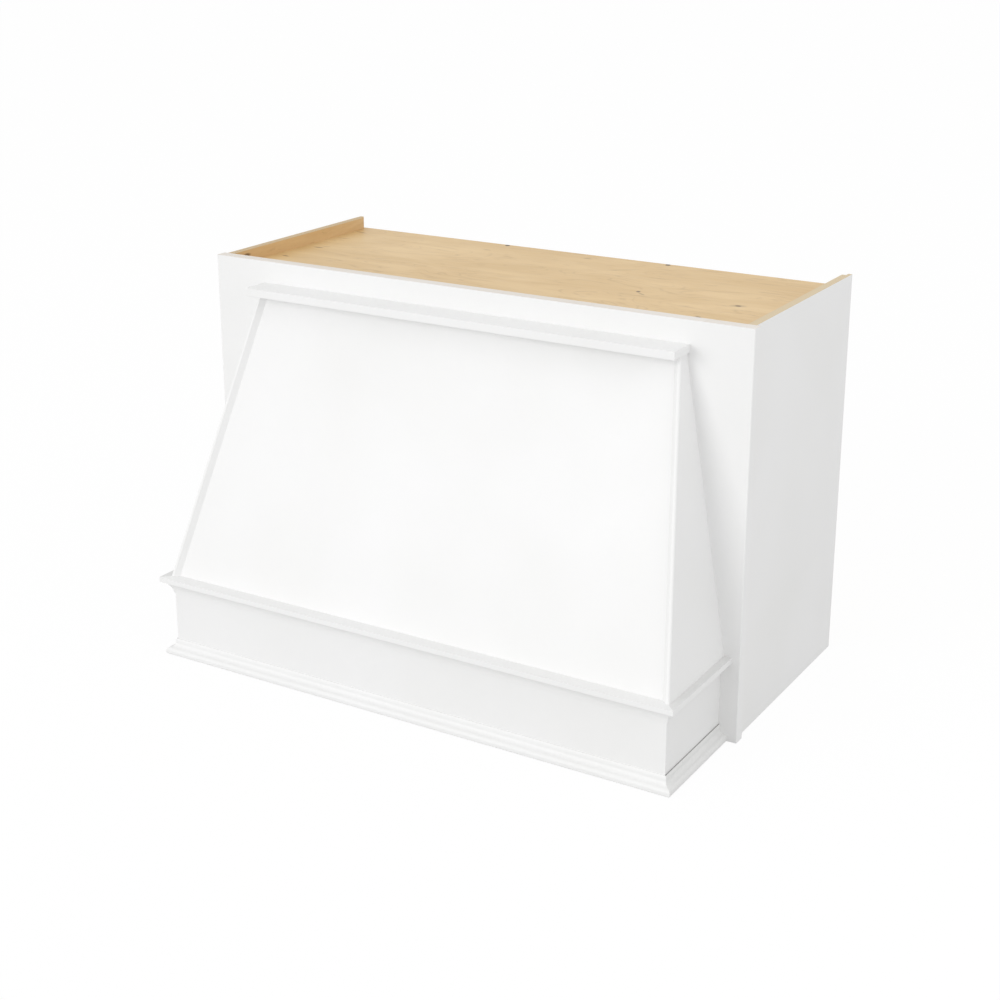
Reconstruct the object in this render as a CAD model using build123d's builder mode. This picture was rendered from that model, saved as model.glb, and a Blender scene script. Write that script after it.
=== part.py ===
"""Wooden range hood cover.

A plywood cabinet box with a face frame hangs on the wall. In front of it a tapered chimney
stands on an apron that carries two mouldings. Millimetres, +Z up, the wall is at +Y.
"""
import os

from build123d import *

os.makedirs("parts", exist_ok=True)

# Cabinet box
overall_width = 914.4
overall_height = 609.6
box_depth = 381.0  # face frame included
stock = 19.05  # thickness of the solid boards
side_ply = 12.7
back_ply = 9.525
side_reveal = 6.35  # face frame past the outside of each side
groove_depth = 6.35  # dado and rabbet cut into the sides
top_drop = 19.05  # top panel below the top edges of the sides
hanging_rail_height = 76.2

# Face frame
stile_width = 76.2
top_rail_height = 203.2
eased_edge = 1.6

# Apron, under the chimney
apron_height = 131.4
apron_inset = 28.6  # apron side in from the edge of the face frame
apron_reach = 174.6  # apron face in front of the face frame

# Chimney
chimney_ply = 12.7  # cheeks
panel_ply = 6.35  # sloping front panel
chimney_foot_reach = 3.0  # foot of the chimney past the apron's face, on the moulding
chimney_foot_side = 4.0  # foot of the chimney past the apron's sides, on the mouldings
chimney_drop = 46.2  # top edge of the chimney below the top of the face frame
chimney_top_inset = 97.6  # cheek in from the edge of the face frame, at the top
chimney_top_reach = 19.4  # front edge of the cheeks in front of the face frame, at the top
panel_setback = 7.0  # panel face behind the front edges of the cheeks
cheek_round = 3.0  # outer corner of a cheek's front edge
cheek_bevel = 8.0  # width of the bevel that leads from the front edge down to the panel

# Cap board on the chimney
cap_thickness = 12.7
cap_side_overhang = 3.4
cap_reach = 47.0  # cap edge in front of the face frame
cap_round = 1.2  # rounding under its front and both ends

# Moulding round the top of the apron
mid_height = 28.6  # its top edge is flush with the apron's
mid_reach = 16.5
mid_nose = 8.2
mid_cove_reach = 15.0
mid_cove_depth = 3.4
mid_lip = 1.5

# Moulding round the bottom of the apron
base_height = 24.0
base_reach = 14.3
base_nose = 5.0
base_cove_reach = 9.5
base_cove_depth = 1.8
base_shoulder = 10.5  # height where the cove meets the rounded shoulder
base_shoulder_round = 1.4
base_bead = 7.0
base_bead_reach = 3.0
base_bead_round = 0.8
base_lip = 1.6
base_foot_round = 1.6

# Cleats and glue blocks
cleat_gap = 6.0
glue_block = 50.8
top_cleat_height = 50.4

# Fasteners
screw_length = 32.0
shank_radius = 2.0
head_radius = 4.0
head_height = 2.0
play = 0.15  # clearance round every screw
stud_spacing = 406.4
stud_hole_radius = 2.75
pocket_radius = 4.75
pocket_screw_length = 38.0
pocket_head_radius = 4.2
pocket_head_height = 2.5
pocket_seat = 14.0  # distance from the joint to the seat of the head
pocket_slope = 0.268  # sideways run of the pocket for each mm along the rail
pocket_shank_radius = 1.8

# Derived positions
half_width = overall_width / 2
front_reach = apron_reach + max(mid_reach, base_reach)
frame_front = (front_reach - box_depth) / 2
frame_back = frame_front + stock
box_back = frame_front + box_depth
back_inner = box_back - back_ply
side_outer = half_width - side_reveal
side_inner = side_outer - side_ply
groove_inner = side_inner + groove_depth
top_surface = overall_height - top_drop
top_under = top_surface - side_ply
rail_front = back_inner - stock
upper_rail_low = top_under - hanging_rail_height
opening_half = half_width - stile_width
opening_top = overall_height - top_rail_height
apron_side = half_width - apron_inset
apron_face = frame_front - apron_reach
apron_side_inner = apron_side - stock
apron_face_inner = apron_face + stock
chimney_top = overall_height - chimney_drop
chimney_height = chimney_top - apron_height
chimney_foot = apron_side + chimney_foot_side
chimney_face = apron_face - chimney_foot_reach
cheek_lean = (chimney_top_inset - apron_inset + chimney_foot_side) / chimney_height
panel_lean = (apron_reach + chimney_foot_reach - chimney_top_reach) / chimney_height
cap_top = chimney_top + cap_thickness
mid_low = apron_height - mid_height
chimney_middle = (apron_height + chimney_top) / 2
panel_back = panel_setback + panel_ply
upper_hole_z = upper_rail_low + hanging_rail_height / 2
lower_hole_z = hanging_rail_height / 2
top_cleat_high = chimney_top - cleat_gap
top_cleat_low = top_cleat_high - top_cleat_height
cheek_cleat_low = opening_top + 2 * cleat_gap
cheek_cleat_high = top_cleat_low - cleat_gap
panel_cleat_low = apron_height + cleat_gap
panel_cleat_high = cheek_cleat_low - cleat_gap


def board(x0, x1, y0, y1, z0, z1, mode=Mode.ADD):
    """Square-edged board between two corners."""
    with Locations(((x0 + x1) / 2, (y0 + y1) / 2, (z0 + z1) / 2)):
        Box(x1 - x0, y1 - y0, z1 - z0, mode=mode)


def along_x(outline, x0, x1, mode=Mode.ADD):
    """Prism with its outline given as (Y, Z)."""
    with BuildSketch(Plane.YZ.offset(x0)) as sketch:
        Polygon(*outline)
    extrude(sketch.sketch, amount=x1 - x0, mode=mode)


def along_y(outline, y0, y1, mode=Mode.ADD):
    """Prism with its outline given as (X, Z)."""
    with BuildSketch(Plane.XZ.offset(-y1)) as sketch:
        Polygon(*outline)
    extrude(sketch.sketch, amount=y1 - y0, mode=mode)


def along_z(outline, z0, z1, mode=Mode.ADD):
    """Prism with its outline given as (X, Y)."""
    with BuildSketch(Plane.XY.offset(z0)) as sketch:
        Polygon(*outline)
    extrude(sketch.sketch, amount=z1 - z0, mode=mode)


def cheek_x(z, depth=0.0):
    """Distance from the middle to a cheek at height z, at a depth inside its outer face."""
    slant = (1 + cheek_lean**2) ** 0.5
    return chimney_foot - cheek_lean * (z - apron_height) - depth * slant


def panel_y(z, depth=0.0):
    """Y of the sloping front at height z, at a depth behind the cheeks' front edges."""
    slant = (1 + panel_lean**2) ** 0.5
    return chimney_face + panel_lean * (z - apron_height) + depth * slant


def front_to_back(z0, z1, near, far, mode=Mode.ADD):
    """Slab that follows the sloping front, between two depths behind it."""
    outline = [
        (panel_y(z0, near), z0),
        (panel_y(z1, near), z1),
        (panel_y(z1, far), z1),
        (panel_y(z0, far), z0),
    ]
    along_x(outline, -half_width, half_width, mode)


def side_to_side(side, z0, z1, near, far, mode=Mode.ADD):
    """Slab that follows a leaning cheek, between two depths inside it."""
    outline = [
        (side * cheek_x(z0, near), z0),
        (side * cheek_x(z1, near), z1),
        (side * cheek_x(z1, far), z1),
        (side * cheek_x(z0, far), z0),
    ]
    along_y(outline, apron_face - stock, frame_front, mode)


def between_cheeks(z0, z1, depth, mode=Mode.ADD):
    """Everything between the two cheeks, at a depth inside their outer faces."""
    outline = [
        (-cheek_x(z0, depth), z0),
        (cheek_x(z0, depth), z0),
        (cheek_x(z1, depth), z1),
        (-cheek_x(z1, depth), z1),
    ]
    along_y(outline, apron_face - stock, frame_front, mode)


def front_plane(y):
    """Plane across the cover: local x points out of the front, local y points up."""
    return Plane(origin=(0, y, 0), x_dir=(0, -1, 0), z_dir=(-1, 0, 0))


def side_plane(side, x):
    """Plane across a side: local x points out of that side, local y points up."""
    return Plane(origin=(side * x, 0, 0), x_dir=(side, 0, 0), z_dir=(0, -side, 0))


def mid_profile(plane):
    """Moulding with a nose on top and a cove below it."""
    high = apron_height
    nose_low = high - mid_nose
    with BuildSketch(plane) as sketch:
        with BuildLine():
            Line((0, mid_low), (mid_lip, mid_low))
            SagittaArc((mid_lip, mid_low), (mid_cove_reach, nose_low), mid_cove_depth)
            Line((mid_cove_reach, nose_low), (mid_reach, nose_low))
            Line((mid_reach, nose_low), (mid_reach, high))
            Line((mid_reach, high), (0, high))
            Line((0, high), (0, mid_low))
        make_face()
    return sketch.sketch


def base_profile(plane):
    """Moulding with a bead on top, a cove, a round shoulder and a nose with an eased foot."""
    shoulder = (base_cove_reach, base_shoulder)
    bead_low = (base_bead_reach, base_height - base_bead)
    foot = base_reach - base_foot_round
    with BuildSketch(plane) as sketch:
        with BuildLine():
            Line((0, 0), (foot, 0))
            Line((foot, 0), (base_reach, base_foot_round))
            Line((base_reach, base_foot_round), (base_reach, base_nose))
            SagittaArc((base_reach, base_nose), shoulder, -base_shoulder_round)
            SagittaArc(shoulder, bead_low, base_cove_depth)
            SagittaArc(bead_low, (base_lip, base_height), -base_bead_round)
            Line((base_lip, base_height), (0, base_height))
            Line((0, base_height), (0, 0))
        make_face()
    return sketch.sketch


def front_mitre(reach, z0, z1):
    """Keep what lies between the two mitred corners at the front."""
    outline = [
        (-apron_side, apron_face),
        (apron_side, apron_face),
        (apron_side + reach, apron_face - reach),
        (-apron_side - reach, apron_face - reach),
    ]
    along_z(outline, z0, z1, Mode.INTERSECT)


def side_mitre(side, reach, z0, z1):
    """Keep what lies between one mitred corner and the face frame."""
    outline = [
        (side * apron_side, frame_front),
        (side * apron_side, apron_face),
        (side * (apron_side + reach), apron_face - reach),
        (side * (apron_side + reach), frame_front),
    ]
    along_z(outline, z0, z1, Mode.INTERSECT)


def side_panel(side):
    """Side with a dado for the top panel and a rabbet for the back."""
    inner = side * side_inner
    outer = side * side_outer
    groove = side * groove_inner
    board(min(inner, outer), max(inner, outer), frame_back, box_back, 0, overall_height)
    low, high = min(inner, groove), max(inner, groove)
    board(low, high, frame_back, box_back, top_under, top_surface, Mode.SUBTRACT)
    board(low, high, back_inner, box_back, 0, overall_height, Mode.SUBTRACT)


def stile(side):
    """Upright of the face frame."""
    inner = side * opening_half
    outer = side * half_width
    board(min(inner, outer), max(inner, outer), frame_front, frame_back, 0, overall_height)


def cheek(side):
    """Leaning side of the chimney, with its front edge cut to the slope."""
    side_to_side(side, apron_height, chimney_top, 0, chimney_ply)
    outline = [
        (frame_front, apron_height),
        (panel_y(apron_height), apron_height),
        (panel_y(chimney_top), chimney_top),
        (frame_front, chimney_top),
    ]
    along_x(outline, -half_width, half_width, Mode.INTERSECT)


def front_edge(made, side):
    """Bevel towards the panel and a rounded outer corner on a cheek's front edge."""
    y, z = panel_y(chimney_middle), chimney_middle
    front = made.faces().sort_by_distance(Vector(side * cheek_x(z, chimney_ply / 2), y, z))[0]
    inner = made.edges().sort_by_distance(Vector(side * cheek_x(z, chimney_ply), y, z))[0]
    chamfer(inner, cheek_bevel, panel_setback, reference=front)
    outer = made.edges().sort_by_distance(Vector(side * cheek_x(z), y, z))[0]
    fillet(outer, cheek_round)


def screw_shape(spot, direction, grow=0.0, mode=Mode.ADD):
    """Countersunk screw with the top of its head at spot."""
    base = (Align.CENTER, Align.CENTER, Align.MIN)
    with Locations(Plane(origin=spot, z_dir=direction)):
        Cylinder(shank_radius + grow, screw_length, align=base, mode=mode)
        Cone(head_radius + grow, shank_radius + grow, head_height, align=base, mode=mode)


def top_screws(grow=0.0, mode=Mode.ADD):
    """Screws down through the top panel into the edge of the back, at thirds of the width."""
    for side in (-1, 1):
        spot = (side * groove_inner / 3, (back_inner + box_back) / 2, top_surface)
        screw_shape(spot, (0, 0, -1), grow, mode)


def cheek_cleat_screws(side, grow=0.0, mode=Mode.ADD):
    """Screws through a cheek cleat into the top rail."""
    for share in (0.25, 0.75):
        z = cheek_cleat_low + share * (cheek_cleat_high - cheek_cleat_low)
        x = side * (cheek_x(z, chimney_ply) - stock)
        screw_shape((x, frame_front - stock, z), (0, 1, 0), grow, mode)


def apron_cleat_screws(side, grow=0.0, mode=Mode.ADD):
    """Screws through an apron cleat into a stile."""
    for share in (0.3, 0.7):
        spot = (side * (apron_side_inner - stock / 2), frame_front - stock, share * apron_height)
        screw_shape(spot, (0, 1, 0), grow, mode)


def pocket_place(side, share):
    """Seat of one pocket screw in the top rail, pointing at the stile."""
    x = side * (opening_half - pocket_seat)
    y = frame_back - stock / 2 + pocket_seat * pocket_slope
    z = opening_top + share * top_rail_height
    return Plane(origin=(x, y, z), z_dir=(side, -pocket_slope, 0))


def pocket_screws(side, grow=0.0, mode=Mode.ADD):
    """Three pan head screws from the top rail into one stile."""
    up = (Align.CENTER, Align.CENTER, Align.MIN)
    down = (Align.CENTER, Align.CENTER, Align.MAX)
    for share in (0.2, 0.5, 0.8):
        with Locations(pocket_place(side, share)):
            Cylinder(pocket_shank_radius + grow, pocket_screw_length, align=up, mode=mode)
            if mode == Mode.ADD:
                Cylinder(pocket_head_radius, pocket_head_height, align=down, mode=mode)


def pockets(side):
    """Slanting pockets that open in the back of the top rail."""
    down = (Align.CENTER, Align.CENTER, Align.MAX)
    for share in (0.2, 0.5, 0.8):
        with Locations(pocket_place(side, share)):
            Cylinder(pocket_radius, 6 * stock, align=down, mode=Mode.SUBTRACT)


def stud_holes(z):
    """Two clearance holes on the stud spacing."""
    for side in (-1, 1):
        spot = (side * stud_spacing / 2, box_back + stock, z)
        with Locations(Plane(origin=spot, z_dir=(0, -1, 0))):
            Cylinder(stud_hole_radius, 6 * stock, mode=Mode.SUBTRACT)


def cheek_cleat(side):
    """Cleat between a cheek and the top rail."""
    side_to_side(side, cheek_cleat_low, cheek_cleat_high, chimney_ply, chimney_ply + 2 * stock)
    low, high = cheek_cleat_low, cheek_cleat_high
    board(-half_width, half_width, frame_front - stock, frame_front, low, high, Mode.INTERSECT)
    cheek_cleat_screws(side, play, Mode.SUBTRACT)


def panel_cleat(side):
    """Cleat in the corner between the sloping panel and a cheek."""
    low, high = panel_cleat_low, panel_cleat_high
    side_to_side(side, low, high, chimney_ply, chimney_ply + stock)
    front_to_back(low, high, panel_back, panel_back + stock, Mode.INTERSECT)


def corner_block(side):
    """Three-cornered glue block behind a front corner of the apron."""
    outline = [
        (side * apron_side_inner, apron_face_inner),
        (side * (apron_side_inner - glue_block), apron_face_inner),
        (side * apron_side_inner, apron_face_inner + glue_block),
    ]
    along_z(outline, 2 * cleat_gap, apron_height - 2 * cleat_gap)


def apron_cleat(side):
    """Cleat that holds a return of the apron to its stile."""
    inner = side * (apron_side_inner - stock)
    outer = side * apron_side_inner
    low, high = 2 * cleat_gap, apron_height - 2 * cleat_gap
    board(min(inner, outer), max(inner, outer), frame_front - stock, frame_front, low, high)
    apron_cleat_screws(side, play, Mode.SUBTRACT)


# Cabinet box
with BuildPart() as side_left:
    side_panel(-1)
side_left.part.label = "side_left"

with BuildPart() as side_right:
    side_panel(1)
side_right.part.label = "side_right"

with BuildPart() as top_panel:
    board(-groove_inner, groove_inner, frame_back, box_back, top_under, top_surface)
    top_screws(play, Mode.SUBTRACT)
top_panel.part.label = "top_panel"

with BuildPart() as back_panel:
    board(-groove_inner, groove_inner, back_inner, box_back, 0, top_under)
    stud_holes(upper_hole_z)
    stud_holes(lower_hole_z)
    top_screws(play, Mode.SUBTRACT)
back_panel.part.label = "back_panel"

with BuildPart() as hanging_rail_upper:
    board(-side_inner, side_inner, rail_front, back_inner, upper_rail_low, top_under)
    stud_holes(upper_hole_z)
hanging_rail_upper.part.label = "hanging_rail_upper"

with BuildPart() as hanging_rail_lower:
    board(-side_inner, side_inner, rail_front, back_inner, 0, hanging_rail_height)
    stud_holes(lower_hole_z)
hanging_rail_lower.part.label = "hanging_rail_lower"

# Face frame
with BuildPart() as stile_left:
    stile(-1)
    fillet(stile_left.edges().filter_by(Axis.Z).sort_by(Axis.Y)[:2].sort_by(Axis.X)[0], eased_edge)
    pocket_screws(-1, play, Mode.SUBTRACT)
    apron_cleat_screws(-1, play, Mode.SUBTRACT)
stile_left.part.label = "stile_left"

with BuildPart() as stile_right:
    stile(1)
    fillet(stile_right.edges().filter_by(Axis.Z).sort_by(Axis.Y)[:2].sort_by(Axis.X)[-1], eased_edge)
    pocket_screws(1, play, Mode.SUBTRACT)
    apron_cleat_screws(1, play, Mode.SUBTRACT)
stile_right.part.label = "stile_right"

with BuildPart() as top_rail:
    board(-opening_half, opening_half, frame_front, frame_back, opening_top, overall_height)
    for hand in (-1, 1):
        pockets(hand)
        pocket_screws(hand, play, Mode.SUBTRACT)
        cheek_cleat_screws(hand, play, Mode.SUBTRACT)
top_rail.part.label = "top_rail"

# Apron
with BuildPart() as apron_front:
    board(-apron_side, apron_side, apron_face, apron_face_inner, 0, apron_height)
apron_front.part.label = "apron_front"

with BuildPart() as apron_left:
    board(-apron_side, -apron_side_inner, apron_face_inner, frame_front, 0, apron_height)
apron_left.part.label = "apron_left"

with BuildPart() as apron_right:
    board(apron_side_inner, apron_side, apron_face_inner, frame_front, 0, apron_height)
apron_right.part.label = "apron_right"

# Chimney
with BuildPart() as cheek_left:
    cheek(-1)
    front_edge(cheek_left, -1)
cheek_left.part.label = "cheek_left"

with BuildPart() as cheek_right:
    cheek(1)
    front_edge(cheek_right, 1)
cheek_right.part.label = "cheek_right"

with BuildPart() as chimney_panel:
    front_to_back(apron_height, chimney_top, panel_setback, panel_back)
    between_cheeks(apron_height, chimney_top, chimney_ply, Mode.INTERSECT)
chimney_panel.part.label = "chimney_panel"

# Cap board, rounded under its front and both ends
with BuildPart() as cap_board:
    cap_end = cheek_x(chimney_top) + cap_side_overhang
    board(-cap_end, cap_end, frame_front - cap_reach, frame_front, chimney_top, cap_top)
    fillet(cap_board.faces().sort_by(Axis.Z)[0].edges().sort_by(Axis.Y)[:3], cap_round)
cap_board.part.label = "cap_board"

# Mouldings
with BuildPart() as mid_moulding_front:
    extrude(mid_profile(front_plane(apron_face)), amount=overall_width, both=True)
    front_mitre(mid_reach, mid_low, apron_height)
mid_moulding_front.part.label = "mid_moulding_front"

with BuildPart() as mid_moulding_left:
    extrude(mid_profile(side_plane(-1, apron_side)), amount=overall_width, both=True)
    side_mitre(-1, mid_reach, mid_low, apron_height)
mid_moulding_left.part.label = "mid_moulding_left"

with BuildPart() as mid_moulding_right:
    extrude(mid_profile(side_plane(1, apron_side)), amount=overall_width, both=True)
    side_mitre(1, mid_reach, mid_low, apron_height)
mid_moulding_right.part.label = "mid_moulding_right"

with BuildPart() as base_moulding_front:
    extrude(base_profile(front_plane(apron_face)), amount=overall_width, both=True)
    front_mitre(base_reach, 0, base_height)
base_moulding_front.part.label = "base_moulding_front"

with BuildPart() as base_moulding_left:
    extrude(base_profile(side_plane(-1, apron_side)), amount=overall_width, both=True)
    side_mitre(-1, base_reach, 0, base_height)
base_moulding_left.part.label = "base_moulding_left"

with BuildPart() as base_moulding_right:
    extrude(base_profile(side_plane(1, apron_side)), amount=overall_width, both=True)
    side_mitre(1, base_reach, 0, base_height)
base_moulding_right.part.label = "base_moulding_right"

# Cleats and glue blocks inside
with BuildPart() as cheek_cleat_left:
    cheek_cleat(-1)
cheek_cleat_left.part.label = "cheek_cleat_left"

with BuildPart() as cheek_cleat_right:
    cheek_cleat(1)
cheek_cleat_right.part.label = "cheek_cleat_right"

with BuildPart() as panel_cleat_left:
    panel_cleat(-1)
panel_cleat_left.part.label = "panel_cleat_left"

with BuildPart() as panel_cleat_right:
    panel_cleat(1)
panel_cleat_right.part.label = "panel_cleat_right"

with BuildPart() as panel_top_cleat:
    wedge = [
        (panel_y(top_cleat_low, panel_back), top_cleat_low),
        (panel_y(top_cleat_high, panel_back), top_cleat_high),
        (frame_front, top_cleat_high),
        (frame_front, top_cleat_low),
    ]
    along_x(wedge, -half_width, half_width)
    between_cheeks(top_cleat_low, top_cleat_high, chimney_ply, Mode.INTERSECT)
panel_top_cleat.part.label = "panel_top_cleat"

with BuildPart() as apron_block_left:
    corner_block(-1)
apron_block_left.part.label = "apron_block_left"

with BuildPart() as apron_block_right:
    corner_block(1)
apron_block_right.part.label = "apron_block_right"

with BuildPart() as apron_cleat_left:
    apron_cleat(-1)
apron_cleat_left.part.label = "apron_cleat_left"

with BuildPart() as apron_cleat_right:
    apron_cleat(1)
apron_cleat_right.part.label = "apron_cleat_right"

# Fasteners
with BuildPart() as top_panel_screws:
    top_screws()
top_panel_screws.part.label = "top_panel_screws"

with BuildPart() as cleat_screws:
    for hand in (-1, 1):
        cheek_cleat_screws(hand)
        apron_cleat_screws(hand)
cleat_screws.part.label = "cleat_screws"

with BuildPart() as frame_screws:
    for hand in (-1, 1):
        pocket_screws(hand)
frame_screws.part.label = "frame_screws"

export_step(side_left.part, "parts/side_left.step")
export_step(side_right.part, "parts/side_right.step")
export_step(top_panel.part, "parts/top_panel.step")
export_step(back_panel.part, "parts/back_panel.step")
export_step(hanging_rail_upper.part, "parts/hanging_rail_upper.step")
export_step(hanging_rail_lower.part, "parts/hanging_rail_lower.step")
export_step(stile_left.part, "parts/stile_left.step")
export_step(stile_right.part, "parts/stile_right.step")
export_step(top_rail.part, "parts/top_rail.step")
export_step(apron_front.part, "parts/apron_front.step")
export_step(apron_left.part, "parts/apron_left.step")
export_step(apron_right.part, "parts/apron_right.step")
export_step(cheek_left.part, "parts/cheek_left.step")
export_step(cheek_right.part, "parts/cheek_right.step")
export_step(chimney_panel.part, "parts/chimney_panel.step")
export_step(cap_board.part, "parts/cap_board.step")
export_step(mid_moulding_front.part, "parts/mid_moulding_front.step")
export_step(mid_moulding_left.part, "parts/mid_moulding_left.step")
export_step(mid_moulding_right.part, "parts/mid_moulding_right.step")
export_step(base_moulding_front.part, "parts/base_moulding_front.step")
export_step(base_moulding_left.part, "parts/base_moulding_left.step")
export_step(base_moulding_right.part, "parts/base_moulding_right.step")
export_step(cheek_cleat_left.part, "parts/cheek_cleat_left.step")
export_step(cheek_cleat_right.part, "parts/cheek_cleat_right.step")
export_step(panel_cleat_left.part, "parts/panel_cleat_left.step")
export_step(panel_cleat_right.part, "parts/panel_cleat_right.step")
export_step(panel_top_cleat.part, "parts/panel_top_cleat.step")
export_step(apron_block_left.part, "parts/apron_block_left.step")
export_step(apron_block_right.part, "parts/apron_block_right.step")
export_step(apron_cleat_left.part, "parts/apron_cleat_left.step")
export_step(apron_cleat_right.part, "parts/apron_cleat_right.step")
export_step(top_panel_screws.part, "parts/top_panel_screws.step")
export_step(cleat_screws.part, "parts/cleat_screws.step")
export_step(frame_screws.part, "parts/frame_screws.step")
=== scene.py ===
# %% [markdown]
# # A wooden range hood cover
#
# The object is a wall cabinet box of maple plywood with a white painted face frame. A tapered
# chimney stands in front of it on an apron with two mouldings. Every board already exists as a
# solid with its real size, so this lesson is about finishes: paint that looks rolled and sanded,
# veneer with a grain, and plywood edges that show their layers.

import math

import bpy
import numpy as np
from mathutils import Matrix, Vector

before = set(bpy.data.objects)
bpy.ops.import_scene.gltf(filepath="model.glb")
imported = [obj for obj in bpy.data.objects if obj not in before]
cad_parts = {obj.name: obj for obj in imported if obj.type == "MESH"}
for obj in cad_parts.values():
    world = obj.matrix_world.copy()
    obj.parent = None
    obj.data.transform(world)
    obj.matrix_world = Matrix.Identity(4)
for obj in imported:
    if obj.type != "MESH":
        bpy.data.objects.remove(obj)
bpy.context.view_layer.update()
print("boards and screws:", len(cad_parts))

# %% [markdown]
# ## The camera
#
# The photograph was taken from above, right of the middle, and its upright edges are parallel,
# as after a perspective correction. A plain camera tilted down was fitted to the corners of the
# box, the cap and the mouldings by least squares, because a strongly shifted lens would push the
# object out of every other view. One pixel of a 1000 pixel image is sensor width / 1000.

# %% Camera
camera_data = bpy.data.cameras.new("camera")
camera = bpy.data.objects.new("camera", camera_data)
bpy.context.scene.collection.objects.link(camera)
bpy.context.scene.camera = camera

CAMERA_SPOT = Vector((1.3133, -2.1697, 1.1784))
CAMERA_YAW = math.radians(31.06)
CAMERA_PITCH = math.radians(-18.04)
FOCAL_PIXELS = 1734.3
IMAGE_PIXELS = 1000
SHIFT = -0.06

camera_data.sensor_width = 36.0
camera_data.lens = FOCAL_PIXELS * camera_data.sensor_width / IMAGE_PIXELS
camera_data.shift_y = SHIFT
camera.location = CAMERA_SPOT
camera.rotation_euler = (math.pi / 2 + CAMERA_PITCH, 0.0, CAMERA_YAW)
print("lens", round(camera_data.lens, 2), "mm, distance", round(CAMERA_SPOT.length, 2), "m")

# %% [markdown]
# ## Light and floor
#
# A white object needs light that is soft but still has a direction, or its faces melt into one.
# The surroundings give an even light, and one wide lamp from the front left makes the right side
# a little darker than the front. Only rays from the camera and reflections see pure white, so
# the background is white without adding light to the object.

# %% Surroundings that light evenly and look white
SKY_LIGHT = 0.84

world = bpy.data.worlds.new("surroundings")
bpy.context.scene.world = world
world.use_nodes = True
sky = world.node_tree
sky.nodes.clear()


def seen_directly(tree):
    """1 for a ray from the camera, a reflection or a refraction, 0 for light that bounces."""
    path = tree.nodes.new("ShaderNodeLightPath")
    first = tree.nodes.new("ShaderNodeMath")
    second = tree.nodes.new("ShaderNodeMath")
    for step in (first, second):
        step.operation = "MAXIMUM"
    tree.links.new(path.outputs["Is Camera Ray"], first.inputs[0])
    tree.links.new(path.outputs["Is Glossy Ray"], first.inputs[1])
    tree.links.new(first.outputs[0], second.inputs[0])
    tree.links.new(path.outputs["Is Transmission Ray"], second.inputs[1])
    return second.outputs[0]


lit = sky.nodes.new("ShaderNodeBackground")
lit.inputs["Color"].default_value = (1.0, 1.0, 1.0, 1.0)
lit.inputs["Strength"].default_value = SKY_LIGHT
white = sky.nodes.new("ShaderNodeBackground")
white.inputs["Strength"].default_value = 1.0
white.inputs["Color"].default_value = (1.0, 1.0, 1.0, 1.0)
choose = sky.nodes.new("ShaderNodeMixShader")
sky_out = sky.nodes.new("ShaderNodeOutputWorld")
sky.links.new(seen_directly(sky), choose.inputs["Fac"])
sky.links.new(lit.outputs[0], choose.inputs[1])
sky.links.new(white.outputs[0], choose.inputs[2])
sky.links.new(choose.outputs[0], sky_out.inputs["Surface"])
print("sky light", SKY_LIGHT)


# %% Lamps
def soft_lamp(name, spot, target, size, power):
    """Square area lamp at a spot, turned towards a target."""
    data = bpy.data.lights.new(name, "AREA")
    data.shape = "SQUARE"
    data.size = size
    data.energy = power
    lamp = bpy.data.objects.new(name, data)
    bpy.context.scene.collection.objects.link(lamp)
    lamp.location = spot
    lamp.rotation_euler = (Vector(target) - Vector(spot)).to_track_quat("-Z", "Y").to_euler()
    return lamp


KEY_SPOT, KEY_TARGET, KEY_SIZE, KEY_POWER = (-2.77, -7.21, 2.37), (0.0, -0.1, 0.3), 4.1, 172.0
SIDE_SPOT, SIDE_TARGET, SIDE_SIZE, SIDE_POWER = (1.75, -0.45, 1.25), (0.45, 0.1, 0.5), 0.8, 3.1
key = soft_lamp("key_lamp", KEY_SPOT, KEY_TARGET, KEY_SIZE, KEY_POWER)
side = soft_lamp("side_lamp", SIDE_SPOT, SIDE_TARGET, SIDE_SIZE, SIDE_POWER)
print("lamps:", key.name, side.name)

# %% Floor
FLOOR_HALF = 30.0
FLOOR_LEVEL = -0.0004  # a hair below the cover, so that no two faces share a plane
FLOOR_GREY = 0.69
FLOOR_GLOW = 1.037
GLOW_SHARE = 0.90  # the rest of what the camera sees of the floor is its shaded surface

floor_mesh = bpy.data.meshes.new("floor")
corners = ((-1, -1), (1, -1), (1, 1), (-1, 1))
floor_mesh.from_pydata(
    [(FLOOR_HALF * x, FLOOR_HALF * y, FLOOR_LEVEL) for x, y in corners],
    [],
    [(0, 1, 2, 3)],
)
floor = bpy.data.objects.new("floor", floor_mesh)
bpy.context.scene.collection.objects.link(floor)

floor_paint = bpy.data.materials.new("floor_paint")
floor_paint.use_nodes = True
ground = floor_paint.node_tree
ground.nodes.clear()
matt = ground.nodes.new("ShaderNodeBsdfDiffuse")
matt.inputs["Color"].default_value = (FLOOR_GREY, FLOOR_GREY, FLOOR_GREY, 1.0)
glow = ground.nodes.new("ShaderNodeEmission")
glow.inputs["Color"].default_value = (1.0, 1.0, 1.0, 1.0)
glow.inputs["Strength"].default_value = FLOOR_GLOW
share = ground.nodes.new("ShaderNodeMath")
share.operation = "MULTIPLY"
share.inputs[1].default_value = GLOW_SHARE
blend = ground.nodes.new("ShaderNodeMixShader")
ground_out = ground.nodes.new("ShaderNodeOutputMaterial")
ground.links.new(seen_directly(ground), share.inputs[0])
ground.links.new(share.outputs[0], blend.inputs["Fac"])
ground.links.new(matt.outputs[0], blend.inputs[1])
ground.links.new(glow.outputs[0], blend.inputs[2])
ground.links.new(blend.outputs[0], ground_out.inputs["Surface"])
floor_mesh.materials.append(floor_paint)
print("floor", tuple(round(v, 1) for v in floor.dimensions))

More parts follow.
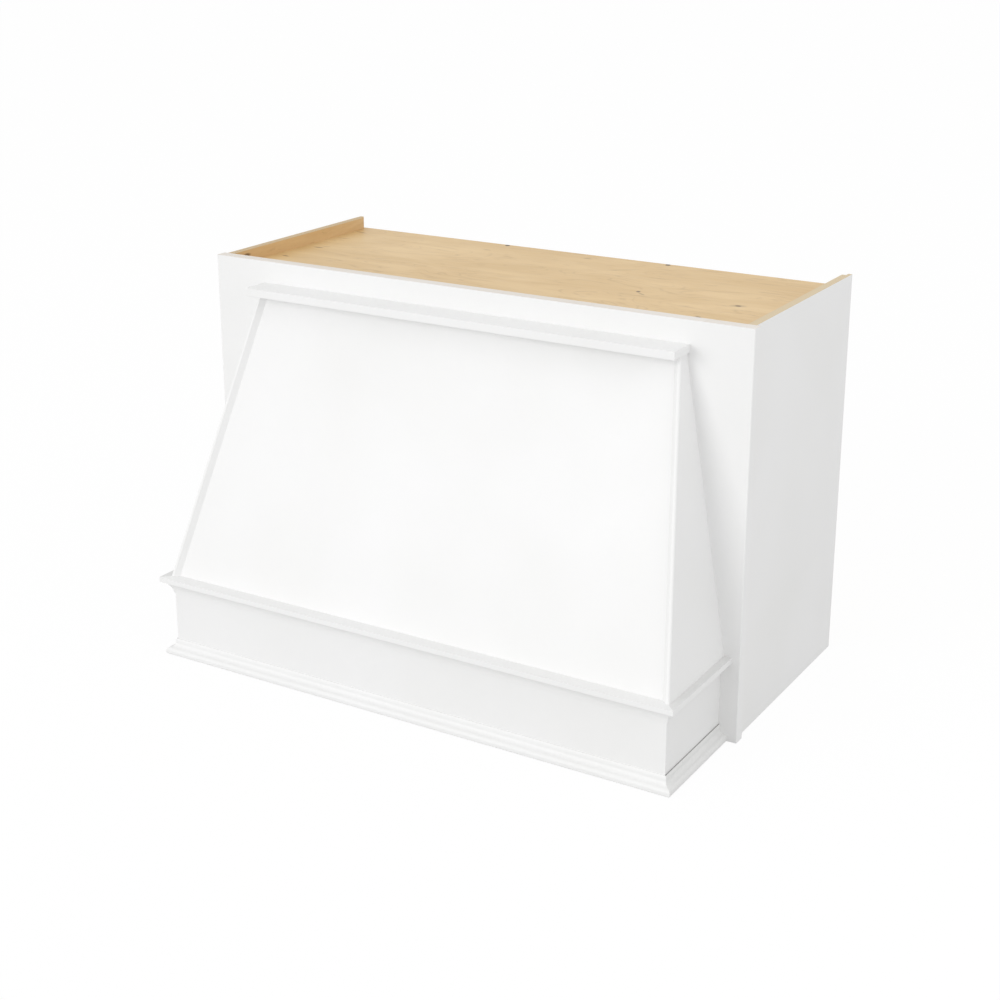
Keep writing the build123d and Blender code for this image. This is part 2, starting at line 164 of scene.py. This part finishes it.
# %% [markdown]
# ## Helpers for finishes
#
# A finish is a small network of nodes on Object coordinates, which are the real metres of the
# object. That keeps the grain at its true scale on every board, and runs it on across a joint
# only where the boards really are one. The helpers below name the few steps that repeat.


# %% Node helpers
def new_finish(name):
    """Material with one Principled shader, returned with its node tree and the shader."""
    material = bpy.data.materials.new(name)
    material.use_nodes = True
    tree = material.node_tree
    return material, tree, tree.nodes["Principled BSDF"]


def step(tree, kind, inputs=(), **settings):
    """One node with settings, whose inputs get sockets or plain values in order."""
    made = tree.nodes.new(kind)
    for key_name, value in settings.items():
        setattr(made, key_name, value)
    for slot, value in inputs:
        if isinstance(value, bpy.types.NodeSocket):
            tree.links.new(value, made.inputs[slot])
        else:
            made.inputs[slot].default_value = value
    return made


def place(tree):
    """Position on the object in metres."""
    return step(tree, "ShaderNodeTexCoord").outputs["Object"]


def stretched_noise(tree, scale, detail=4.0, roughness=0.55, wander=0.0, start=0.0):
    """Noise with its own number of spots per metre along X, Y and Z, bent by its wander."""
    mapped = step(
        tree,
        "ShaderNodeMapping",
        [("Vector", place(tree)), ("Location", (start, start, start)), ("Scale", scale)],
    )
    noise = step(
        tree,
        "ShaderNodeTexNoise",
        [("Vector", mapped.outputs[0]), ("Scale", 1.0), ("Detail", detail), ("Roughness", roughness)],
    )
    noise.inputs["Distortion"].default_value = wander
    return noise.outputs["Fac"]


def span(tree, value, low, high, to_low=0.0, to_high=1.0):
    """Value scaled from low..high to to_low..to_high and held there."""
    return step(
        tree,
        "ShaderNodeMapRange",
        [("Value", value), ("From Min", low), ("From Max", high), ("To Min", to_low), ("To Max", to_high)],
    ).outputs[0]


def mix_colour(tree, share, first, second):
    """First colour where share is 0, second where it is 1."""
    made = step(tree, "ShaderNodeMix", data_type="RGBA")
    for socket, value in ((made.inputs[0], share), (made.inputs[6], first), (made.inputs[7], second)):
        if isinstance(value, bpy.types.NodeSocket):
            tree.links.new(value, socket)
        else:
            socket.default_value = value
    return made.outputs[2]


def mix_value(tree, share, first, second):
    """First number where share is 0, second where it is 1."""
    made = step(tree, "ShaderNodeMix", data_type="FLOAT")
    for socket, value in ((made.inputs[0], share), (made.inputs[2], first), (made.inputs[3], second)):
        if isinstance(value, bpy.types.NodeSocket):
            tree.links.new(value, socket)
        else:
            socket.default_value = value
    return made.outputs[0]


def beyond(tree, direction, distance):
    """1 where the position measured along a direction is past a distance, 0 before it."""
    along = step(tree, "ShaderNodeVectorMath", [(0, place(tree)), (1, direction)], operation="DOT_PRODUCT")
    return span(tree, along.outputs["Value"], distance - 0.0002, distance + 0.0002)


def both(tree, first, second):
    """Product of two masks."""
    return step(tree, "ShaderNodeMath", [(0, first), (1, second)], operation="MULTIPLY").outputs[0]


def facing(tree, direction):
    """1 on faces that look along a direction, 0 on the others."""
    normal = step(tree, "ShaderNodeNewGeometry").outputs["True Normal"]
    dot = step(tree, "ShaderNodeVectorMath", [(0, normal), (1, direction)], operation="DOT_PRODUCT")
    return span(tree, dot.outputs["Value"], 0.60, 0.70)


def rgb(red, green, blue):
    """Colour from screen levels of 0 to 255 to the linear values that a shader takes."""
    levels = np.array([red, green, blue]) / 255
    linear = np.where(levels <= 0.04045, levels / 12.92, ((levels + 0.055) / 1.055) ** 2.4)
    return (*linear.tolist(), 1.0)


print("screen level 242 is", round(rgb(242, 242, 242)[0], 3), "in a shader")

# %% [markdown]
# ## Wood and plywood
#
# Planed wood is bands of early and late growth with fine fibres in them, all drawn out along
# the board. Noise stretched along one axis gives both, a broad one for the bands and a narrow
# one for the fibres. Maple also has a few thin brown mineral streaks, which are the peaks of
# a third noise. A photograph of wood would show its grain at one scale only and repeat.

# %% Wood surface
AXES = {"X": 0, "Y": 1, "Z": 2}


def drawn_out(axis, along, across):
    """Scales for a pattern that is drawn out along one axis."""
    scale = [across, across, across]
    scale[AXES[axis]] = along
    return tuple(scale)


def wood_surface(tree, axis, pale, deep, streak, streaks=0.7):
    """Colour and height of wood with its grain along an axis."""
    bands = stretched_noise(tree, drawn_out(axis, 3.2, 17.0), detail=5.0, roughness=0.58, wander=0.9)
    ticks = stretched_noise(tree, drawn_out(axis, 26.0, 150.0), detail=3.0, roughness=0.6, wander=0.5)
    fibres = stretched_noise(tree, drawn_out(axis, 30.0, 1100.0), detail=2.0, roughness=0.6)
    colour = mix_colour(tree, span(tree, bands, 0.34, 0.68), pale, deep)
    colour = mix_colour(tree, span(tree, fibres, 0.40, 0.75, 0.0, 0.25), colour, deep)
    short = span(tree, ticks, 0.60, 0.74, 0.0, 0.45 * streaks)
    colour = mix_colour(tree, short, colour, streak)
    return colour, fibres


def rotary_surface(tree, axis, pale, deep, streak):
    """Colour and height of rotary-cut veneer, whose rings show as drawn-out islands."""
    hills = stretched_noise(tree, drawn_out(axis, 3.4, 10.0), detail=2.5, roughness=0.5, wander=1.0)
    clouds = stretched_noise(tree, drawn_out(axis, 7.0, 26.0), detail=4.0, wander=0.6, start=3.0)
    ticks = stretched_noise(tree, drawn_out(axis, 20.0, 110.0), detail=3.0, roughness=0.6, wander=0.6)
    fibres = stretched_noise(tree, drawn_out(axis, 30.0, 1100.0), detail=2.0, roughness=0.6)
    rings = step(tree, "ShaderNodeMath", [(0, hills), (1, 0.035)], operation="PINGPONG").outputs[0]
    shore = both(tree, span(tree, rings, 0.0, 0.012, 1.0, 0.0), span(tree, clouds, 0.40, 0.60))
    colour = mix_colour(tree, span(tree, hills, 0.35, 0.65), pale, deep)
    colour = mix_colour(tree, span(tree, clouds, 0.42, 0.66, 0.0, 0.70), colour, deep)
    colour = mix_colour(tree, span(tree, shore, 0.0, 1.0, 0.0, 0.22), colour, streak)
    colour = mix_colour(tree, span(tree, fibres, 0.40, 0.75, 0.0, 0.20), colour, deep)
    colour = mix_colour(tree, span(tree, ticks, 0.62, 0.76, 0.0, 0.38), colour, streak)
    return colour, fibres


def oval(tree, spot, half_sizes, turn=0.0):
    """1 inside a small oval mark round a spot, 0 outside it."""
    local = step(
        tree,
        "ShaderNodeMapping",
        [("Vector", place(tree)), ("Location", spot), ("Rotation", (0.0, 0.0, turn)), ("Scale", half_sizes)],
        vector_type="TEXTURE",
    )
    reach = step(tree, "ShaderNodeVectorMath", [(0, local.outputs[0])], operation="LENGTH")
    return span(tree, reach.outputs["Value"], 0.55, 1.15, 1.0, 0.0)


def with_marks(tree, colour, marks, oval_colour):
    """Colour with small ovals of another colour, each given as spot, half sizes, turn and strength."""
    for spot, half_sizes, turn, strength in marks:
        share = both(tree, oval(tree, spot, half_sizes, turn), strength)
        colour = mix_colour(tree, share, colour, oval_colour)
    return colour


def ply_edge(tree, across, pale, deep):
    """Layers of veneer seen on a cut edge, one every 1.4 mm of the thickness."""
    spot = step(tree, "ShaderNodeSeparateXYZ", [("Vector", place(tree))]).outputs[AXES[across]]
    layer = step(tree, "ShaderNodeMath", [(0, spot), (1, 0.0014)], operation="PINGPONG").outputs[0]
    band = span(tree, layer, 0.0004, 0.0010)
    return mix_colour(tree, band, pale, deep)


MAPLE_PALE = rgb(232, 201, 149)
MAPLE_DEEP = rgb(218, 184, 128)
MAPLE_STREAK = rgb(150, 112, 72)
MARK_BROWN = rgb(84, 50, 24)
EDGE_PALE = rgb(222, 205, 174)
EDGE_DEEP = rgb(214, 192, 154)
print("maple", [round(v, 3) for v in MAPLE_PALE[:3]])

# %% [markdown]
# ## White paint
#
# The cover is sprayed and rolled white. Fresh paint on wood isn't one flat colour: it is a shade
# warmer where the coat is thin, its gloss changes a little, and a very low orange peel breaks up
# the reflections. Only the outside is painted. The faces that look into the cover stay bare, so
# the finish asks each face which way it looks before it chooses paint or wood.

# %% Painted board
PAINT = rgb(242, 242, 242)
PAINT_THIN = rgb(239, 239, 238)
BARE_PALE = rgb(216, 196, 160)
BARE_DEEP = rgb(196, 172, 132)
BARE_STREAK = rgb(150, 122, 86)
TOP_EDGE = rgb(237, 232, 226)
TOP_EDGE_DEEP = rgb(229, 221, 211)
# Painted shade: a dark line for the shadow in an open joint, on the lip of the side base mouldings.
GAP_SHADE_LINE = rgb(150, 149, 147)
# Painted shade: the darker white of the short ledges of the side mouldings.
SIDE_LEDGE_SHADE = rgb(226, 226, 225)
# Painted shade: the darker white of the side base mouldings.
SIDE_MOULDING_SHADE = rgb(233, 233, 232)


def paint_surface(tree, full=PAINT, thin=PAINT_THIN):
    """Colour, roughness and height of the white coat, with its colour where full and thin."""
    cloud = stretched_noise(tree, (4.0, 4.0, 4.0), detail=2.0)
    peel = stretched_noise(tree, (330.0, 330.0, 330.0), detail=1.0, roughness=0.4)
    colour = mix_colour(tree, span(tree, cloud, 0.30, 0.75), full, thin)
    rough = span(tree, cloud, 0.3, 0.7, 0.42, 0.50)
    return colour, rough, peel


def finish_bump(tree, shader, height, strength, distance):
    """Low relief from a height pattern."""
    bump = step(
        tree,
        "ShaderNodeBump",
        [("Height", height), ("Strength", strength), ("Distance", distance)],
    )
    tree.links.new(bump.outputs["Normal"], shader.inputs["Normal"])


# The sloping panel's back is the plane where Y - 0.366 Z has this value, so the narrow step of
# each cheek in front of the panel keeps its paint.
SLOPE = (0.0, 1.0, -0.366)
PANEL_BACK = -0.3066


def painted_board(name, bare_side=None, grain="X", bare_top=False, bare_behind=False):
    """White paint outside, bare wood on the faces that look along bare_side."""
    material, tree, shader = new_finish(name)
    colour, rough, height = paint_surface(tree)
    if bare_side is not None:
        wood, fibres = wood_surface(tree, grain, BARE_PALE, BARE_DEEP, BARE_STREAK, 0.4)
        inside = facing(tree, bare_side)
        if bare_behind:
            inside = both(tree, inside, beyond(tree, SLOPE, PANEL_BACK))
        colour = mix_colour(tree, inside, colour, wood)
        rough = mix_value(tree, inside, rough, 0.62)
        height = mix_value(tree, inside, height, fibres)
    if bare_top:
        wood, _ = wood_surface(tree, grain, TOP_EDGE, TOP_EDGE_DEEP, BARE_PALE, 0.3)
        above = facing(tree, (0.0, 0.0, 1.0))
        colour = mix_colour(tree, above, colour, wood)
    tree.links.new(colour, shader.inputs["Base Color"])
    tree.links.new(rough, shader.inputs["Roughness"])
    shader.inputs["Specular IOR Level"].default_value = 0.42
    finish_bump(tree, shader, height, 0.05, 0.0002)
    return material


def painted_side_moulding(name, full, thin, lip, lip_shade):
    """White paint with a painted shade colour on the faces that look up from above a height."""
    material, tree, shader = new_finish(name)
    colour, rough, height = paint_surface(tree, full, thin)
    above = both(tree, facing(tree, (0.0, 0.0, 1.0)), beyond(tree, (0.0, 0.0, 1.0), lip))
    tree.links.new(mix_colour(tree, above, colour, lip_shade), shader.inputs["Base Color"])
    tree.links.new(rough, shader.inputs["Roughness"])
    shader.inputs["Specular IOR Level"].default_value = 0.42
    finish_bump(tree, shader, height, 0.05, 0.0002)
    return material


def dress(nodes, material):
    """Puts one finish on several boards."""
    for name in nodes:
        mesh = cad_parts[name].data
        mesh.materials.clear()
        mesh.materials.append(material)


dress(["stile_left", "stile_right"], painted_board("painted_stile", (0.0, 1.0, 0.0), "Z", True))
dress(["top_rail"], painted_board("painted_rail", (0.0, 1.0, 0.0), "X", True))
dress(["apron_front"], painted_board("painted_apron_front", (0.0, 1.0, 0.0), "X"))
dress(["apron_left"], painted_board("painted_apron_left", (1.0, 0.0, 0.0), "Y"))
dress(["apron_right"], painted_board("painted_apron_right", (-1.0, 0.0, 0.0), "Y"))
dress(["cheek_left"], painted_board("painted_cheek_left", (1.0, 0.0, 0.0), "Z", bare_behind=True))
dress(["cheek_right"], painted_board("painted_cheek_right", (-1.0, 0.0, 0.0), "Z", bare_behind=True))
dress(["chimney_panel"], painted_board("painted_panel", (0.0, 1.0, 0.0), "X"))

# The short ledges of the side mouldings, and the side base mouldings, carry painted shade: a
# white a shade darker than paint, for the shade that this light doesn't give them. The lip of
# the side base mouldings carries a dark line of painted shade, for the shadow in an open joint.
ledges = ["mid_moulding_left", "mid_moulding_right"]
gap_shade_mouldings = ["base_moulding_left", "base_moulding_right"]
mouldings = [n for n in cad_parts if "moulding" in n and n not in ledges + gap_shade_mouldings]
dress(mouldings + ["cap_board"], painted_board("painted_moulding"))
LEDGE_FROM = 0.1308  # just below the top of the middle mouldings, in metres
LIP_FROM = 0.0235  # just below the top of the base mouldings
ledge_shade_finish = painted_side_moulding("ledge_painted_shade", PAINT, PAINT_THIN, LEDGE_FROM, SIDE_LEDGE_SHADE)
gap_shade_finish = painted_side_moulding("base_side_painted_shade", SIDE_MOULDING_SHADE, SIDE_MOULDING_SHADE, LIP_FROM, GAP_SHADE_LINE)
dress(ledges, ledge_shade_finish)
dress(gap_shade_mouldings, gap_shade_finish)
print("painted mouldings:", len(mouldings) + len(ledges) + len(gap_shade_mouldings))

# %% [markdown]
# ## The plywood box
#
# The sides are painted outside, show maple veneer inside, and show their layers on every cut
# edge. The top panel's grain runs along the width. Its colour is what the photograph shows best,
# so it is where the grain and the brown streaks matter most.


# %% Sides
def painted_side(name, outward, edge_pale, edge_deep, marks=()):
    """Plywood with paint on the outer face, layers on the edges and veneer inside."""
    material, tree, shader = new_finish(name)
    colour, rough, height = paint_surface(tree)
    veneer, fibres = wood_surface(tree, "Y", SIDE_PALE, SIDE_DEEP, MAPLE_STREAK)
    veneer = with_marks(tree, veneer, marks, MARK_BROWN)
    layers = ply_edge(tree, "X", edge_pale, edge_deep)
    outer = facing(tree, (outward, 0.0, 0.0))
    inner = facing(tree, (-outward, 0.0, 0.0))
    bare = mix_colour(tree, inner, layers, veneer)
    tree.links.new(mix_colour(tree, outer, bare, colour), shader.inputs["Base Color"])
    tree.links.new(mix_value(tree, outer, 0.55, rough), shader.inputs["Roughness"])
    shader.inputs["Specular IOR Level"].default_value = 0.42
    finish_bump(tree, shader, mix_value(tree, outer, fibres, height), 0.05, 0.0002)
    return material


SIDE_PALE = rgb(229, 197, 147)
SIDE_DEEP = rgb(214, 178, 126)
# A dark oval in the front top corner of the left side's inner face, in the brown of the knots.
SIDE_MARKS = [((-0.438, -0.045, 0.6015), (0.02, 0.0100, 0.0035), 0.0, 0.75)]
LEFT_PALE = rgb(208, 186, 148)
LEFT_DEEP = rgb(196, 166, 122)
dress(["side_left"], painted_side("side_finish_left", -1.0, LEFT_PALE, LEFT_DEEP, SIDE_MARKS))
dress(["side_right"], painted_side("side_finish_right", 1.0, EDGE_PALE, EDGE_DEEP))
print("sides done")


# %% Veneered panels
def veneered(name, grain, thickness_axis, marks=()):
    """Clear-coated rotary-cut maple veneer with its layers on the cut edges."""
    material, tree, shader = new_finish(name)
    veneer, fibres = rotary_surface(tree, grain, MAPLE_PALE, MAPLE_DEEP, MAPLE_STREAK)
    veneer = with_marks(tree, veneer, marks, MARK_BROWN)
    layers = ply_edge(tree, thickness_axis, EDGE_PALE, EDGE_DEEP)
    normal = step(tree, "ShaderNodeNewGeometry").outputs["True Normal"]
    part = step(tree, "ShaderNodeSeparateXYZ", [("Vector", normal)]).outputs[AXES[thickness_axis]]
    face = span(tree, step(tree, "ShaderNodeMath", [(0, part)], operation="ABSOLUTE").outputs[0], 0.6, 0.7)
    tree.links.new(mix_colour(tree, face, layers, veneer), shader.inputs["Base Color"])
    tree.links.new(span(tree, fibres, 0.3, 0.7, 0.36, 0.50), shader.inputs["Roughness"])
    shader.inputs["Specular IOR Level"].default_value = 0.45
    finish_bump(tree, shader, fibres, 0.10, 0.0002)
    return material


# Pin knots, bark pockets and a short dark line at the left back corner: spot, half sizes in
# metres, turn in radians, strength.
TOP_MARKS = [
    ((-0.4096, 0.1065, 0.590), (0.0100, 0.0022, 0.02), 0.10, 0.80),
    ((-0.4020, 0.1180, 0.590), (0.0090, 0.0018, 0.02), 0.10, 0.35),
    ((-0.4150, 0.0250, 0.590), (0.0085, 0.0026, 0.02), -0.15, 0.70),
    ((0.1910, 0.0915, 0.590), (0.0035, 0.0050, 0.02), 0.60, 0.85),
    ((0.2020, 0.0800, 0.590), (0.0090, 0.0022, 0.02), -0.55, 0.40),
    ((0.3545, 0.0845, 0.590), (0.0050, 0.0035, 0.02), 0.20, 0.95),
    ((0.3545, 0.0845, 0.590), (0.0130, 0.0080, 0.02), 0.20, 0.25),
    ((0.3330, -0.0050, 0.590), (0.0055, 0.0035, 0.02), -0.40, 0.70),
    ((0.1032, 0.2122, 0.590), (0.0300, 0.0030, 0.02), 0.60, 0.18),
    ((0.0160, 0.2585, 0.590), (0.0090, 0.0035, 0.02), 0.00, 0.30),
    ((-0.4230, 0.2470, 0.590), (0.0140, 0.0025, 0.02), -0.20, 0.45),
]
dress(["top_panel"], veneered("veneer_top", "X", "Z", TOP_MARKS))
dress(["back_panel"], veneered("veneer_back", "X", "Y"))
print("panels done")

# %% [markdown]
# ## Hidden wood and screws
#
# Rails, cleats and glue blocks are plain planed wood, seen only from below or behind. The screws
# have a dark phosphate coat: nearly black, rough, with a little metal showing through.


# %% Rails, cleats and blocks
def planed_wood(name, grain):
    """Bare planed wood with its grain along an axis."""
    material, tree, shader = new_finish(name)
    colour, fibres = wood_surface(tree, grain, BARE_PALE, BARE_DEEP, BARE_STREAK)
    tree.links.new(colour, shader.inputs["Base Color"])
    tree.links.new(span(tree, fibres, 0.3, 0.7, 0.55, 0.70), shader.inputs["Roughness"])
    shader.inputs["Specular IOR Level"].default_value = 0.35
    finish_bump(tree, shader, fibres, 0.15, 0.0004)
    return material


long_wood = planed_wood("rail_wood", "X")
upright_wood = planed_wood("cleat_wood", "Z")
dress(["hanging_rail_upper", "hanging_rail_lower", "panel_top_cleat"], long_wood)
dress([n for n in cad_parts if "_cleat_" in n or "_block_" in n], upright_wood)
print("bare wood done")

# %% Screws
screw_coat, screw_tree, screw_shader = new_finish("black_phosphate")
patches = stretched_noise(screw_tree, (900.0, 900.0, 900.0), detail=3.0)
dark = mix_colour(screw_tree, span(screw_tree, patches, 0.35, 0.7), rgb(46, 42, 40), rgb(78, 72, 66))
screw_tree.links.new(dark, screw_shader.inputs["Base Color"])
screw_tree.links.new(span(screw_tree, patches, 0.3, 0.7, 0.42, 0.60), screw_shader.inputs["Roughness"])
screw_shader.inputs["Metallic"].default_value = 0.6
dress(["top_panel_screws", "cleat_screws", "frame_screws"], screw_coat)
print("screws done")

# %% [markdown]
# ## Last step
#
# The view transform is Standard, so that a colour renders about as it is written.

# %% Finish
bpy.context.scene.view_settings.view_transform = "Standard"
